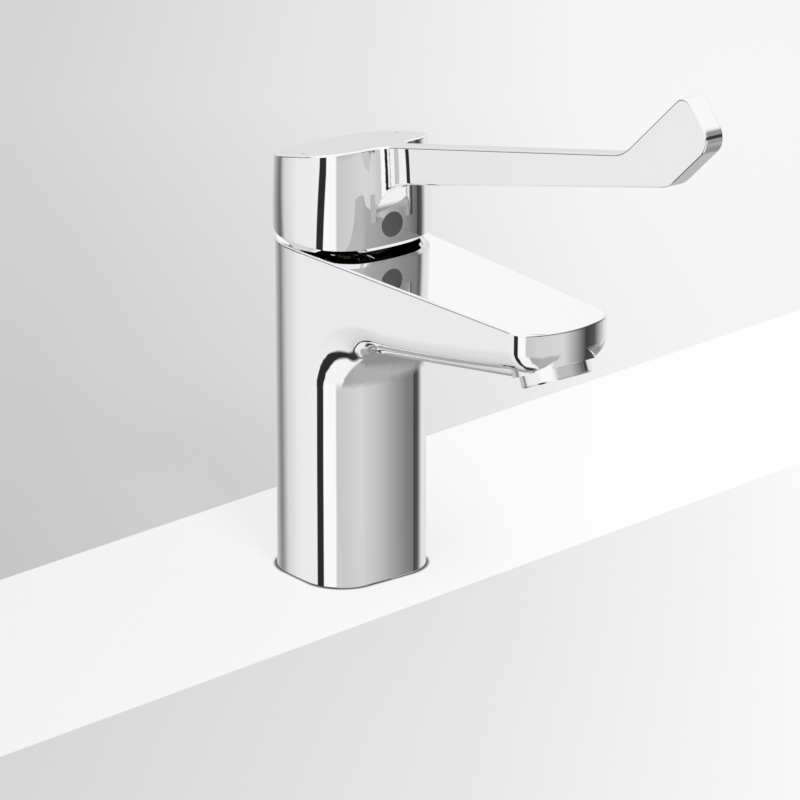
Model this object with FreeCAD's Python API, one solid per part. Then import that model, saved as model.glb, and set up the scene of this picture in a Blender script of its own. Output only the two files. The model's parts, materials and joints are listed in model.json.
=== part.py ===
import FreeCAD, Part
import math
import os

# Single-lever basin mixer tap.
# Millimetres, +Z up, the spout points to -Y, and the origin is the centre of the column on the deck.

Vector = FreeCAD.Vector
X_AXIS = Vector(1, 0, 0)
Y_AXIS = Vector(0, 1, 0)
Z_AXIS = Vector(0, 0, 1)

# Column
column_width = 50.0
column_depth = 44.9
column_corner_radius = 15.3
column_front_bow = 0.5
column_side_bow = 0.33
body_height = 123.3

# Spout
spout_reach = 124.2
spout_tip_width = 39.6
spout_tip_bow_radius = 38.0
spout_tip_corner_radius = 9.0
spout_top_fall_deg = 0.72
spout_depth = 30.9
spout_underside_rise_deg = 8.1
spout_blend_radius = 20.0
spout_lower_edge_radius = 11.0
spout_tip_edge_radius = 10.0
spout_under_corner_radius = 8.0
spout_top_edge_radius = 0.9

# Recess under the spout and the keel that carries the waterway
rim_half_width = 17.0
recess_depth = 5.2
recess_corner_radius = 9.0
recess_setback = 5.5
recess_front_wall = 5.7
keel_half_width = 12.5
keel_height = 14.0
keel_drop = 4.65
keel_rise_deg = 9.0
keel_edge_radius = 4.5
waterway_half_width = 12.0
waterway_wall = 3.4
waterway_floor = 3.0
waterway_throat_depth = 16.8
waterway_throat_opening = 10.0
waterway_overlap = 7.0
waterway_front_setback = 6.1

# Aerator, whose axis leans so that the water leaves away from the column
aerator_lean_deg = 23.5
aerator_setback = 11.15
aerator_depth = 18.7
aerator_thread_radius = 12.0
aerator_thread_length = 8.0
aerator_collar_radius = 12.3
aerator_collar_length = 4.3
aerator_bore_radius = 10.2
aerator_lip = 1.2
aerator_boss_wall = 2.4
aerator_washer_thickness = 1.5
aerator_screen_thickness = 0.8
aerator_cell_width = 3.4
aerator_cell_web = 1.0
aerator_chamber_depth = 3.0

# Hollow base of the column
base_wall = 4.2
base_edge_bevel = 0.4
base_cavity_height = 60.0
base_seal_width = 2.2
base_seal_depth = 2.0
base_seal_edge = 1.0

# Water inlets and fixing, all inside the tap hole of the deck
inlet_spacing = 14.0
inlet_forward = 4.0
inlet_thread_radius = 4.5
inlet_thread_length = 12.0
inlet_channel_radius = 3.5
boss_bottom_height = 30.0
inlet_boss_radius = 7.6
stud_radius = 4.0
stud_backward = 13.0
stud_hold = 16.0
stud_boss_radius = 6.5
stud_below_nut = 14.0
deck_thickness = 30.0
clamp_radius = 26.0
clamp_gasket_thickness = 3.0
clamp_plate_thickness = 2.5
clamp_slot_half_width = 14.0
clamp_slot_corner_radius = 5.0
clamp_slot_back = 3.5
nut_height = 6.5
nut_across_flats = 13.0

# Cartridge
chamber_below_pivot = 37.0
cartridge_radius = 17.5
cartridge_gap = 0.25
cartridge_base_height = 6.0
inlet_port_radius = 2.4
outlet_channel_width = 6.6
outlet_channel_floor = 2.4
outlet_port_backward = 7.0
outlet_port_radius = 3.0
fixed_disc_radius = 14.8
fixed_disc_height = 4.0
moving_disc_radius = 12.3
moving_disc_height = 3.5
mixing_pocket_radius = 10.3
mixing_pocket_edge = 3.9
mixing_pocket_depth = 1.6
drive_peg_radius = 1.2
drive_peg_offset = 7.0
drive_peg_depth = 1.5
disc_film = 0.05
carrier_radius = 9.5
carrier_plate_height = 3.9
slider_half_width = 5.5
slider_height = 3.0
slider_half_length = 9.0
rotor_radius = 15.1
rotor_height = 8.0
neck_radius = 9.5
neck_top_above_pivot = 3.2
running_clearance = 0.06
piece_clearance = 0.3
housing_top_thickness = 3.0
inlet_seal_radius = 4.6
inlet_seal_height = 1.6
housing_seal_height = 2.0
housing_seal_depth = 1.6
housing_seal_lift = 0.3
chamber_thread_radius = 19.0
chamber_thread_relief = 0.5
cartridge_nut_inner_radius = 14.3
cartridge_nut_height = 9.4
nut_notch_width = 4.0
nut_notch_depth = 3.0
limiter_height = 4.0
limiter_step_radius = 12.0
lug_radius = 11.7
lug_angle_deg = 24.0
lug_play_deg = 1.5
bonnet_radius = 18.0
bonnet_edge_height = 2.1
bonnet_height = 3.2
bonnet_shoulder = 2.0
bonnet_opening_radius = 10.3

# Movement of the lever
swivel_range_deg = 45.0
tilt_range_deg = 16.0
pivot_depth = 2.3
pivot_pin_radius = 1.5
spindle_arm = 19.0
spindle_ball_radius = 3.4
spindle_shank_radius = 2.6
spindle_block_half = 3.4
spindle_block_below = 6.0
spindle_block_above = 4.0
spindle_square = 7.0
spindle_top_above_pivot = 23.0
sleeve_wall = 1.2
sleeve_start_above_pivot = 9.0

# Cap of the lever handle
cap_gap = 0.45
cap_front_relief_deg = 3.4
cap_extra_width = 1.05
cap_forward = 0.6
cap_bevel_height = 2.55
cap_bevel_inset = 0.9
cap_bevel_extra_corner = 4.5
cap_widest_above_crease = 5.0
cap_wall_curve = 0.0012
cap_wall_sections = 5
cap_height = 34.0
cap_top_incline_deg = 12.05
cap_wall = 3.4
arm_start_inside = 7.8
cap_ceiling = 5.5
cap_tilt_clearance = 0.6
socket_boss_radius = 8.0
socket_boss_lift = 5.7
screw_radius = 3.0
screw_length = 9.0
screw_above_pivot = 12.5
screw_key_radius = 1.7
screw_key_depth = 4.0
screw_boss_radius = 5.2
screw_hole_radius = 3.5
cover_radius = 4.6
cover_thickness = 1.9
mark_radius = 0.7
mark_depth = 1.0
mark_offset = 20.7

# Arm of the lever handle
arm_thickness = 7.5
arm_length = 151.2
arm_root_depth = 14.0
arm_underside_incline_deg = 13.2
arm_gusset_radius = 12.0
arm_neck_radius = 6.0
handle_edge_radius = 0.7
paddle_incline_deg = 42.5
paddle_length = 41.4
paddle_width = 19.8
paddle_upper_bend_radius = 17.0
paddle_lower_bend_radius = 12.0
paddle_top_corner_radius = 5.5
paddle_front_corner_radius = 6.3

# Sizes that are only large enough to reach past the whole tap
FAR = 300.0
OVERLAP = 1.0

# Points closer together than this count as one, and points this near a plane as lying in it
SAME_PLACE = 0.01
NEAR_PLANE = 0.05

# Values that several pieces share
half_width = column_width / 2
half_depth = column_depth / 2
over_body = body_height + spout_blend_radius
spout_underside_height = body_height - spout_depth
pivot_height = body_height - pivot_depth
chamber_floor_height = pivot_height - chamber_below_pivot
cap_top_height = body_height + cap_height
screw_height = pivot_height + screw_above_pivot
socket_boss_bottom_height = body_height + socket_boss_lift
waterway_throat_top = body_height - waterway_throat_depth
waterway_throat_bottom = waterway_throat_top - waterway_throat_opening
inlet_x = inlet_spacing / 2
chamber_radius = cartridge_radius + cartridge_gap
pivot = Vector(0, 0, pivot_height)
spindle_lean_deg = tilt_range_deg / 2
disc_rest_y = spindle_arm * math.sin(math.radians(spindle_lean_deg))
base_top = chamber_floor_height + cartridge_base_height
fixed_disc_top = base_top + fixed_disc_height
moving_disc_bottom = fixed_disc_top + disc_film
carrier_bottom = moving_disc_bottom + moving_disc_height
slider_bottom = carrier_bottom + carrier_plate_height
slider_top = slider_bottom + slider_height
rotor_bottom = slider_bottom + piece_clearance
rotor_top = rotor_bottom + rotor_height
housing_inner_top = rotor_top + running_clearance
housing_top = housing_inner_top + housing_top_thickness
cartridge_nut_top = housing_top + cartridge_nut_height
limiter_outer_radius = cartridge_nut_inner_radius - piece_clearance
limiter_inner_radius = neck_radius + piece_clearance
underside_slope = math.tan(math.radians(spout_underside_rise_deg))
aerator_centre = Vector(0, aerator_setback - spout_reach, body_height - aerator_depth)
aerator_boss_radius = aerator_thread_radius + aerator_boss_wall
cap_rim_height = body_height + cap_gap
cap_crease_height = cap_rim_height + cap_bevel_height
cap_half_width = half_width + cap_extra_width
cap_half_depth = half_depth + cap_extra_width
cap_front = cap_half_depth + cap_forward
clamp_gasket_top = -deck_thickness
clamp_plate_top = clamp_gasket_top - clamp_gasket_thickness
fixing_nut_top = clamp_plate_top - clamp_plate_thickness
stud_bottom = fixing_nut_top - nut_height - stud_below_nut
stud_top = boss_bottom_height + stud_hold


# Helpers

def cylinder(radius, bottom, top, x=0.0, y=0.0):
    return Part.makeCylinder(radius, top - bottom, Vector(x, y, bottom))


def tube(outer, inner, bottom, top, x=0.0, y=0.0):
    return cylinder(outer, bottom, top, x, y).cut(cylinder(inner, bottom - OVERLAP, top + OVERLAP, x, y))


def box(x0, x1, y0, y1, z0, z1):
    return Part.makeBox(x1 - x0, y1 - y0, z1 - z0, Vector(x0, y0, z0))


def turned(shape, centre, axis, angle_deg):
    result = shape.copy()
    result.rotate(centre, axis, angle_deg)
    return result


def revolved(points):
    """Full turn of an (r, z) outline about the Z axis."""
    corners = [Vector(radius, 0, height) for radius, height in points]
    face = Part.Face(Part.makePolygon(corners + corners[:1]))
    return face.revolve(Vector(0, 0, 0), Z_AXIS, 360)


def tilted_block_above(point, incline_deg):
    """Everything above a plane that rises towards -Y at the given angle."""
    block = box(-FAR, FAR, -FAR, FAR, 0, FAR)
    block.rotate(Vector(0, 0, 0), X_AXIS, -incline_deg)
    block.translate(point)
    return block


def rounded_outline(corners, to_vector):
    """Closed wire through (a, b, radius) corners, each rounded by a tangent arc of its radius."""
    count = len(corners)
    stretches = []
    for index in range(count):
        a, b, radius = corners[index]
        here = Vector(a, b, 0)
        before = Vector(corners[index - 1][0], corners[index - 1][1], 0)
        after = Vector(corners[(index + 1) % count][0], corners[(index + 1) % count][1], 0)
        to_before = (before - here).normalize()
        to_after = (after - here).normalize()
        if radius == 0:
            stretches.append((here, here, here))
            continue
        half_angle = to_before.getAngle(to_after) / 2
        reach = radius / math.tan(half_angle)
        bisector = (to_before + to_after).normalize()
        middle = here + bisector * (radius / math.sin(half_angle) - radius)
        stretches.append((here + to_before * reach, middle, here + to_after * reach))
    edges = []
    for index in range(count):
        start, middle, end = stretches[index]
        if start != end:
            edges.append(Part.Arc(to_vector(start), to_vector(middle), to_vector(end)).toShape())
        following = stretches[(index + 1) % count][0]
        edges.append(Part.makeLine(to_vector(end), to_vector(following)))
    return Part.Wire(edges)


def side_prism(corners, half_thickness):
    """Solid with a (y, z, radius) side outline, centred on x = 0."""
    wire = rounded_outline(corners, lambda p: Vector(-half_thickness, p.x, p.y))
    return Part.Face(wire).extrude(Vector(2 * half_thickness, 0, 0))


def plan_prism(corners, bottom, top):
    """Upright solid with an (x, y, radius) plan outline."""
    wire = rounded_outline(corners, lambda p: Vector(p.x, p.y, bottom))
    return Part.Face(wire).extrude(Vector(0, 0, top - bottom))


def meeting_point(first, first_deg, second, second_deg):
    """Where two lines cross, each given by a (y, z) point and the angle by which it rises towards -Y."""
    direction_1 = (-math.cos(math.radians(first_deg)), math.sin(math.radians(first_deg)))
    direction_2 = (-math.cos(math.radians(second_deg)), math.sin(math.radians(second_deg)))
    cross = direction_1[0] * direction_2[1] - direction_1[1] * direction_2[0]
    gap = (second[0] - first[0], second[1] - first[1])
    along = (gap[0] * direction_2[1] - gap[1] * direction_2[0]) / cross
    return (first[0] + along * direction_1[0], first[1] + along * direction_1[1])


def corner_layout(half_w, half_d, corner, front_bow, side_bow):
    """Corner circle centre and the radii of the bowed front and side of a plan outline."""
    centre_x = half_w - corner - side_bow
    centre_y = half_d - corner - front_bow
    front_radius = centre_x ** 2 / (2 * front_bow) + corner + front_bow / 2
    side_radius = centre_y ** 2 / (2 * side_bow) + corner + side_bow / 2
    return centre_x, centre_y, front_radius, side_radius


def toward(origin, target, distance):
    return origin + (target - origin).normalize() * distance


def bowed_outline(half_w, half_d, corner, front_bow, side_bow, height, forward=0.0):
    """Rounded rectangle whose four sides bow outwards, all arcs tangent."""
    centre_x, centre_y, front_radius, side_radius = corner_layout(half_w, half_d, corner, front_bow, side_bow)
    edges = []
    quarter = [(1, -1), (1, 1), (-1, 1), (-1, -1)]
    joints = []
    for sign_x, sign_y in quarter:
        centre = Vector(sign_x * centre_x, sign_y * centre_y, 0)
        front_centre = Vector(0, sign_y * (half_d - front_radius), 0)
        side_centre = Vector(sign_x * (half_w - side_radius), 0, 0)
        on_front = toward(front_centre, centre, front_radius)
        on_side = toward(side_centre, centre, side_radius)
        on_corner = centre + Vector(sign_x, sign_y, 0).normalize() * corner
        joints.append((on_front, on_side, on_corner))
    shift = Vector(0, -forward, height)
    for index in range(len(quarter)):
        on_front, on_side, on_corner = joints[index]
        next_front, next_side = joints[(index + 1) % len(quarter)][:2]
        starts_on_front = index % 2 == 0
        start = on_front if starts_on_front else on_side
        end = on_side if starts_on_front else on_front
        following = next_side if starts_on_front else next_front
        sign_x, sign_y = quarter[index]
        crown = Vector(sign_x * half_w, 0, 0) if starts_on_front else Vector(0, sign_y * half_d, 0)
        edges.append(Part.Arc(start + shift, on_corner + shift, end + shift).toShape())
        edges.append(Part.Arc(end + shift, crown + shift, following + shift).toShape())
    return Part.Wire(edges)


def bowed_prism(inset, bottom, top):
    """Upright solid inside the column outline, smaller by the inset all round."""
    wire = bowed_outline(half_width - inset, half_depth - inset, column_corner_radius - inset,
                         column_front_bow, column_side_bow, bottom)
    return Part.Face(wire).extrude(Vector(0, 0, top - bottom))


def edges_where(shape, test):
    return [edge for edge in shape.Edges if test(edge)]


def edge_middle(edge):
    return edge.valueAt((edge.FirstParameter + edge.LastParameter) / 2)


def rounded_edges(solid, radii_by_edge):
    """Fillet of picked edges, each with its own radius at the start and at the end."""
    document = FreeCAD.newDocument("blend")
    base = document.addObject("Part::Feature", "Base")
    base.Shape = solid
    blend = document.addObject("Part::Fillet", "Blend")
    blend.Base = base
    blend.Edges = radii_by_edge
    document.recompute()
    result = blend.Shape.copy()
    FreeCAD.closeDocument(document.Name)
    return result


def save(shape, name):
    """One STEP file per piece, as a single solid where the piece is one."""
    clean = shape.removeSplitter()
    solids = clean.Solids
    result = solids[0] if len(solids) == 1 else Part.makeCompound(solids)
    print(name, len(solids), result.isValid(), round(result.Volume))
    result.exportStep("parts/" + name + ".step")


# Column and spout casting

def spout_outline(with_nose, extra=0.0):
    """Column seen from above, its sides running on straight to the bowed nose or to a plain far end."""
    centre_x, centre_y, front_radius, side_radius = corner_layout(
        half_width, half_depth, column_corner_radius, column_front_bow, column_side_bow)
    edges = []
    tips = {}
    rears = {}
    for sign in (1, -1):
        side_centre = Vector(sign * (half_width - side_radius), 0, 0)
        tip = Vector(sign * spout_tip_width / 2, -spout_reach, 0)
        to_tip = tip - side_centre
        tip_angle = math.atan2(abs(to_tip.y), abs(to_tip.x))
        start_angle = tip_angle - math.acos(side_radius / to_tip.Length)
        tangent = side_centre + Vector(sign * math.cos(start_angle), -math.sin(start_angle), 0) * side_radius
        corner_centre = Vector(sign * centre_x, centre_y, 0)
        rear_centre = Vector(0, half_depth - front_radius, 0)
        on_side = toward(side_centre, corner_centre, side_radius)
        on_rear = toward(rear_centre, corner_centre, front_radius)
        on_corner = corner_centre + Vector(sign, 1, 0).normalize() * column_corner_radius
        crown = Vector(sign * half_width, 0, 0)
        if with_nose:
            tip, on_bend, on_nose = nose_corner(sign, tangent, tip)
            edges.append(Part.Arc(on_nose, on_bend, tip).toShape())
            tips[sign] = on_nose
        else:
            tip = tip + (tip - tangent).normalize() * extra
            tips[sign] = tip
        edges.append(Part.makeLine(tip, tangent))
        edges.append(Part.Arc(tangent, crown, on_side).toShape())
        edges.append(Part.Arc(on_side, on_corner, on_rear).toShape())
        rears[sign] = on_rear
    edges.append(Part.Arc(rears[1], Vector(0, half_depth, 0), rears[-1]).toShape())
    if with_nose:
        edges.append(Part.Arc(tips[1], Vector(0, -spout_reach, 0), tips[-1]).toShape())
    else:
        edges.append(Part.makeLine(tips[1], tips[-1]))
    return edges


def nose_corner(sign, line_start, line_end):
    """Three points of the arc that joins a straight side to the bowed nose, tangent to both."""
    corner_radius = spout_tip_corner_radius
    along = (line_end - line_start).normalize()
    inward = Vector(along.y * sign, -along.x * sign, 0)
    bow_centre = Vector(0, spout_tip_bow_radius - spout_reach, 0)
    offset = line_start + inward * corner_radius - bow_centre
    half_b = offset.dot(along)
    constant = offset.dot(offset) - (spout_tip_bow_radius - corner_radius) ** 2
    centre = bow_centre + offset + along * (math.sqrt(half_b ** 2 - constant) - half_b)
    on_line = centre - inward * corner_radius
    on_nose = toward(bow_centre, centre, spout_tip_bow_radius)
    middle = (on_line + on_nose) * 0.5
    return on_line, toward(centre, middle, corner_radius), on_nose


def upright(edges, height):
    wire = Part.Wire(Part.__sortEdges__(edges))
    return Part.Face(wire).extrude(Vector(0, 0, height))


def spout_side_shape():
    """Side view of the body, turned about the centre of the bowed front so that it bows the same way."""
    front_radius = corner_layout(half_width, half_depth, column_corner_radius,
                                 column_front_bow, column_side_bow)[2]
    reach = spout_reach + 2 * spout_tip_corner_radius
    far_rise = (reach - half_depth) * math.tan(math.radians(spout_underside_rise_deg))
    corners = [
        (2 * half_depth, 0, 0),
        (-half_depth, 0, 0),
        (-half_depth, spout_underside_height, spout_blend_radius),
        (-reach, spout_underside_height + far_rise, 0),
        (-reach, over_body + OVERLAP, 0),
        (2 * half_depth, over_body + OVERLAP, 0),
    ]
    wire = rounded_outline(corners, lambda p: Vector(0, p.x, p.y))
    centre = Vector(0, front_radius - half_depth, 0)
    face = Part.Face(wire)
    face.rotate(centre, Z_AXIS, -45)
    return face.revolve(centre, Z_AXIS, 90)


def lower_edge_radii(solid):
    """Radii down one side: round the column's front corner and on along the spout's lower edge."""
    radii = []
    for number, edge in enumerate(solid.Edges, start=1):
        start = edge.valueAt(edge.FirstParameter)
        end = edge.valueAt(edge.LastParameter)
        middle = edge_middle(edge)
        on_side = middle.x < -spout_lower_edge_radius
        in_front = middle.y < -half_depth / 2
        inside_height = OVERLAP < middle.z < body_height - spout_blend_radius / 2
        before_tip = min(abs(start.y), abs(end.y)) < spout_reach
        if on_side and in_front and inside_height and before_tip:
            radii.append((number, lower_edge_radius(start), lower_edge_radius(end)))
    return radii


def lower_edge_radius(point):
    """Wide at the column, narrower below the spout and a little more so beyond its tip."""
    if point.y > -half_depth - OVERLAP:
        return column_corner_radius
    if point.y > -spout_reach / 2:
        return spout_lower_edge_radius
    return spout_tip_edge_radius


def is_under_nose_corner(edge):
    """The slanting edge where a corner of the nose meets the rounding below the spout's side."""
    start = edge.valueAt(edge.FirstParameter)
    end = edge.valueAt(edge.LastParameter)
    at_nose = edge_middle(edge).y < spout_tip_corner_radius - spout_reach
    return at_nose and abs(start.x - end.x) > OVERLAP and abs(start.z - end.z) > spout_under_corner_radius / 4


def body_shell():
    """Outside of the column and spout with their blends, taller than it ends up."""
    outline = spout_outline(False, spout_tip_corner_radius)
    blank = upright(outline, over_body).common(spout_side_shape())
    blended = rounded_edges(blank, lower_edge_radii(blank))
    half = blended.common(box(-FAR, 0, -FAR, FAR, -OVERLAP, FAR))
    whole = half.fuse(half.mirror(Vector(0, 0, 0), X_AXIS))
    shell = whole.common(upright(spout_outline(True), over_body)).removeSplitter()
    return shell.makeFillet(spout_under_corner_radius, edges_where(shell, is_under_nose_corner))


def underside_height(distance, above=0.0):
    """Height over the flat underside of the spout, at a distance in front of the column's centre."""
    return spout_underside_height + (distance - half_depth) * underside_slope + above


def spout_recess():
    """Hollow between the two rims under the spout."""
    back = -half_depth - recess_setback
    front = recess_front_wall - spout_reach
    corners = [
        (-rim_half_width, back, recess_corner_radius),
        (rim_half_width, back, recess_corner_radius),
        (rim_half_width, front, recess_corner_radius),
        (-rim_half_width, front, recess_corner_radius),
    ]
    hollow = plan_prism(corners, 0, body_height)
    roof = tilted_block_above(Vector(0, -half_depth, spout_underside_height + recess_depth),
                              spout_underside_rise_deg)
    return hollow.cut(roof)


def spout_keel():
    """Rounded bar under the spout that holds the waterway, from the column to the aerator."""
    start = keel_edge_radius - half_depth
    length = start - aerator_centre.y
    slope = math.tan(math.radians(keel_rise_deg))
    bottom = spout_underside_height - keel_drop + (-start - half_depth) * slope
    corners = [
        (-keel_half_width, bottom, keel_edge_radius),
        (keel_half_width, bottom, keel_edge_radius),
        (keel_half_width, bottom + keel_height, 0),
        (-keel_half_width, bottom + keel_height, 0),
    ]
    wire = rounded_outline(corners, lambda p: Vector(p.x, start, p.y))
    return Part.Face(wire).extrude(Vector(0, -length, length * slope))


def at_aerator(shape):
    """Moves a shape from its own axis to the aerator's; its own z = 0 is the face it screws into."""
    result = turned(shape, Vector(0, 0, 0), X_AXIS, -aerator_lean_deg)
    result.translate(aerator_centre)
    return result


def spout_waterway():
    """Cored passage from the cartridge chamber to the aerator."""
    back = waterway_overlap - chamber_radius
    throat = -chamber_thread_radius - waterway_wall
    front = aerator_centre.y + waterway_front_setback
    top_fall = math.tan(math.radians(spout_top_fall_deg))
    floor_lift = recess_depth + waterway_floor
    corners = [
        (back, waterway_throat_bottom, 0),
        (-chamber_radius, waterway_throat_bottom, 0),
        (-half_depth - recess_setback, underside_height(half_depth + recess_setback, floor_lift), 0),
        (front, underside_height(-front, floor_lift), 0),
        (front, body_height + front * top_fall - waterway_wall, 0),
        (throat, body_height + throat * top_fall - waterway_wall, 0),
        (throat, waterway_throat_top, 0),
        (back, waterway_throat_top, 0),
    ]
    return side_prism(corners, waterway_half_width)


def inlet_places():
    return [(-inlet_x, -inlet_forward), (inlet_x, -inlet_forward)]


def body_casting():
    body = body_shell().cut(spout_recess()).fuse(spout_keel())
    body = body.fuse(at_aerator(cylinder(aerator_boss_radius, 0, aerator_boss_radius)))
    body = body.common(upright(spout_outline(True), over_body))
    facet = box(-FAR, FAR, -FAR, aerator_boss_radius, -half_width, 0)
    body = body.cut(at_aerator(facet))
    body = body.cut(tilted_block_above(Vector(0, 0, body_height), -spout_top_fall_deg))
    body = body.makeFillet(spout_top_edge_radius, edges_where(body, is_on_body_top))
    body = body.makeChamfer(base_edge_bevel, edges_where(body, is_on_deck))

    hollow = bowed_prism(base_wall, 0, base_cavity_height)
    hollow = hollow.cut(cylinder(stud_boss_radius, boss_bottom_height, base_cavity_height, 0, stud_backward))
    for x, y in inlet_places():
        hollow = hollow.cut(cylinder(inlet_boss_radius, boss_bottom_height, base_cavity_height, x, y))
    body = body.cut(hollow)
    body = body.cut(base_ring())
    body = body.cut(cylinder(stud_radius, boss_bottom_height, stud_top, 0, stud_backward))
    for x, y in inlet_places():
        thread_top = boss_bottom_height + inlet_thread_length
        body = body.cut(cylinder(inlet_thread_radius, boss_bottom_height, thread_top, x, y))
        body = body.cut(cylinder(inlet_channel_radius, thread_top, chamber_floor_height, x, y))
    body = body.cut(cylinder(chamber_radius, chamber_floor_height, over_body))
    body = body.cut(cylinder(chamber_thread_radius, housing_top - chamber_thread_relief, over_body))
    body = body.cut(spout_waterway())
    seat = cylinder(aerator_thread_radius, 0, aerator_thread_length)
    well = cylinder(aerator_bore_radius - aerator_lip / 2, aerator_thread_length,
                    aerator_thread_length + aerator_chamber_depth)
    return body.cut(at_aerator(seat)).cut(at_aerator(well))


def is_on_body_top(edge):
    """Edges around the flat top of the column and spout."""
    points = [edge.valueAt(edge.FirstParameter), edge_middle(edge), edge.valueAt(edge.LastParameter)]
    fall = math.tan(math.radians(spout_top_fall_deg))
    return all(abs(point.z - body_height - point.y * fall) < NEAR_PLANE for point in points)


def is_on_deck(edge):
    """Edges around the foot of the column."""
    return abs(edge_middle(edge).z) < SAME_PLACE


def base_ring():
    outer = bowed_prism(base_seal_edge, 0, base_seal_depth)
    inner = bowed_prism(base_seal_edge + base_seal_width, 0, base_seal_depth)
    return outer.cut(inner)


# Fixing under the deck

def fixing_stud():
    return cylinder(stud_radius, stud_bottom, stud_top, 0, stud_backward)


def clamp_ring(top, thickness):
    """Horseshoe that leaves the hoses a way through."""
    ring = cylinder(clamp_radius, top - thickness, top)
    corners = [
        (-clamp_slot_half_width, clamp_slot_back, clamp_slot_corner_radius),
        (clamp_slot_half_width, clamp_slot_back, clamp_slot_corner_radius),
        (clamp_slot_half_width, -2 * clamp_radius, 0),
        (-clamp_slot_half_width, -2 * clamp_radius, 0),
    ]
    ring = ring.cut(plan_prism(corners, top - thickness - OVERLAP, top + OVERLAP))
    hole = cylinder(stud_radius + piece_clearance, top - thickness - OVERLAP, top + OVERLAP, 0, stud_backward)
    return ring.cut(hole)


def fixing_nut():
    across_corners = nut_across_flats / math.cos(math.radians(30))
    points = []
    for step in range(7):
        angle = math.radians(60 * step)
        points.append(Vector(across_corners / 2 * math.cos(angle),
                             stud_backward + across_corners / 2 * math.sin(angle),
                             fixing_nut_top - nut_height))
    prism = Part.Face(Part.makePolygon(points)).extrude(Vector(0, 0, nut_height))
    return prism.cut(cylinder(stud_radius, fixing_nut_top - nut_height - OVERLAP, fixing_nut_top + OVERLAP,
                              0, stud_backward))


# Cartridge, fixed pieces

def inlet_seals():
    rings = [tube(inlet_seal_radius, inlet_port_radius, chamber_floor_height,
                  chamber_floor_height + inlet_seal_height, x, y) for x, y in inlet_places()]
    return rings[0].fuse(rings[1])


def cartridge_base():
    base = cylinder(cartridge_radius, chamber_floor_height, base_top)
    for x, y in inlet_places():
        base = base.cut(cylinder(inlet_seal_radius, chamber_floor_height,
                                 chamber_floor_height + inlet_seal_height, x, y))
        base = base.cut(cylinder(inlet_port_radius, chamber_floor_height, base_top, x, y))
    channel = box(-outlet_channel_width / 2, outlet_channel_width / 2, -2 * cartridge_radius,
                  outlet_port_backward + outlet_port_radius,
                  chamber_floor_height + outlet_channel_floor, base_top)
    return base.cut(channel)


def fixed_disc():
    disc = cylinder(fixed_disc_radius, base_top, fixed_disc_top)
    for x, y in inlet_places():
        disc = disc.cut(cylinder(inlet_port_radius, base_top, fixed_disc_top, x, y))
    return disc.cut(cylinder(outlet_port_radius, base_top, fixed_disc_top, 0, outlet_port_backward))


def seal_groove_bottom():
    return housing_inner_top + housing_seal_lift


def cartridge_housing():
    housing = cylinder(cartridge_radius, base_top, housing_top)
    housing = housing.cut(cylinder(rotor_radius + running_clearance, base_top, housing_inner_top))
    housing = housing.cut(cylinder(neck_radius + running_clearance, housing_inner_top, housing_top))
    groove_top = seal_groove_bottom() + housing_seal_height
    groove = cylinder(2 * cartridge_radius, seal_groove_bottom(), groove_top)
    core = cylinder(cartridge_radius - housing_seal_depth, seal_groove_bottom(), groove_top)
    return housing.cut(groove.cut(core))


def housing_seal():
    return tube(chamber_radius, cartridge_radius - housing_seal_depth, seal_groove_bottom(),
                seal_groove_bottom() + housing_seal_height)


def cartridge_nut():
    nut = tube(chamber_thread_radius, cartridge_nut_inner_radius, housing_top, cartridge_nut_top)
    for angle in (0, 90):
        notch = box(-FAR, FAR, -nut_notch_width / 2, nut_notch_width / 2,
                    cartridge_nut_top - nut_notch_depth, cartridge_nut_top + OVERLAP)
        nut = nut.cut(turned(notch, Vector(0, 0, 0), Z_AXIS, angle))
    return nut


def sector(radius, bottom, top, middle_deg, span_deg):
    wedge = Part.makeCylinder(radius, top - bottom, Vector(0, 0, bottom), Z_AXIS, span_deg)
    wedge.rotate(Vector(0, 0, 0), Z_AXIS, middle_deg - span_deg / 2)
    return wedge


def temperature_limiter():
    """Ring whose stepped window stops the swivel at both ends of its travel."""
    ring = tube(limiter_outer_radius, limiter_inner_radius, housing_top, housing_top + limiter_height)
    span = 2 * (swivel_range_deg + lug_play_deg) + lug_angle_deg
    return ring.cut(sector(limiter_step_radius, housing_top, housing_top + limiter_height, 90, span))


def bonnet():
    """Dark dome over the nut, seen in the gap under the handle."""
    return revolved([
        (bonnet_opening_radius, cartridge_nut_top),
        (bonnet_radius, cartridge_nut_top),
        (bonnet_radius, cartridge_nut_top + bonnet_edge_height),
        (bonnet_radius - bonnet_shoulder, cartridge_nut_top + bonnet_height),
        (bonnet_opening_radius, cartridge_nut_top + bonnet_height),
    ])


# Aerator pieces, drawn on their own axis

def aerator_collar():
    inside_top = aerator_thread_length - aerator_washer_thickness
    points = [
        (aerator_bore_radius - aerator_lip, -aerator_collar_length),
        (aerator_collar_radius - aerator_lip / 2, -aerator_collar_length),
        (aerator_collar_radius, aerator_lip / 2 - aerator_collar_length),
        (aerator_collar_radius, 0),
        (aerator_thread_radius, 0),
        (aerator_thread_radius, inside_top),
        (aerator_bore_radius, inside_top),
        (aerator_bore_radius, aerator_lip - aerator_collar_length),
        (aerator_bore_radius - aerator_lip, aerator_lip - aerator_collar_length),
    ]
    return revolved(points)


def pierced_disc(bottom, top):
    """Disc full of square cells, as the insert and the screen have."""
    disc = cylinder(aerator_bore_radius, bottom, top)
    pitch = aerator_cell_width + aerator_cell_web
    open_radius = aerator_bore_radius - aerator_lip
    steps = int(open_radius // pitch)
    for column in range(-steps, steps + 1):
        for row in range(-steps, steps + 1):
            x = column * pitch
            y = row * pitch
            if math.hypot(abs(x) + aerator_cell_width / 2, abs(y) + aerator_cell_width / 2) > open_radius:
                continue
            half = aerator_cell_width / 2
            disc = disc.cut(box(x - half, x + half, y - half, y + half, bottom, top))
    return disc


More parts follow.
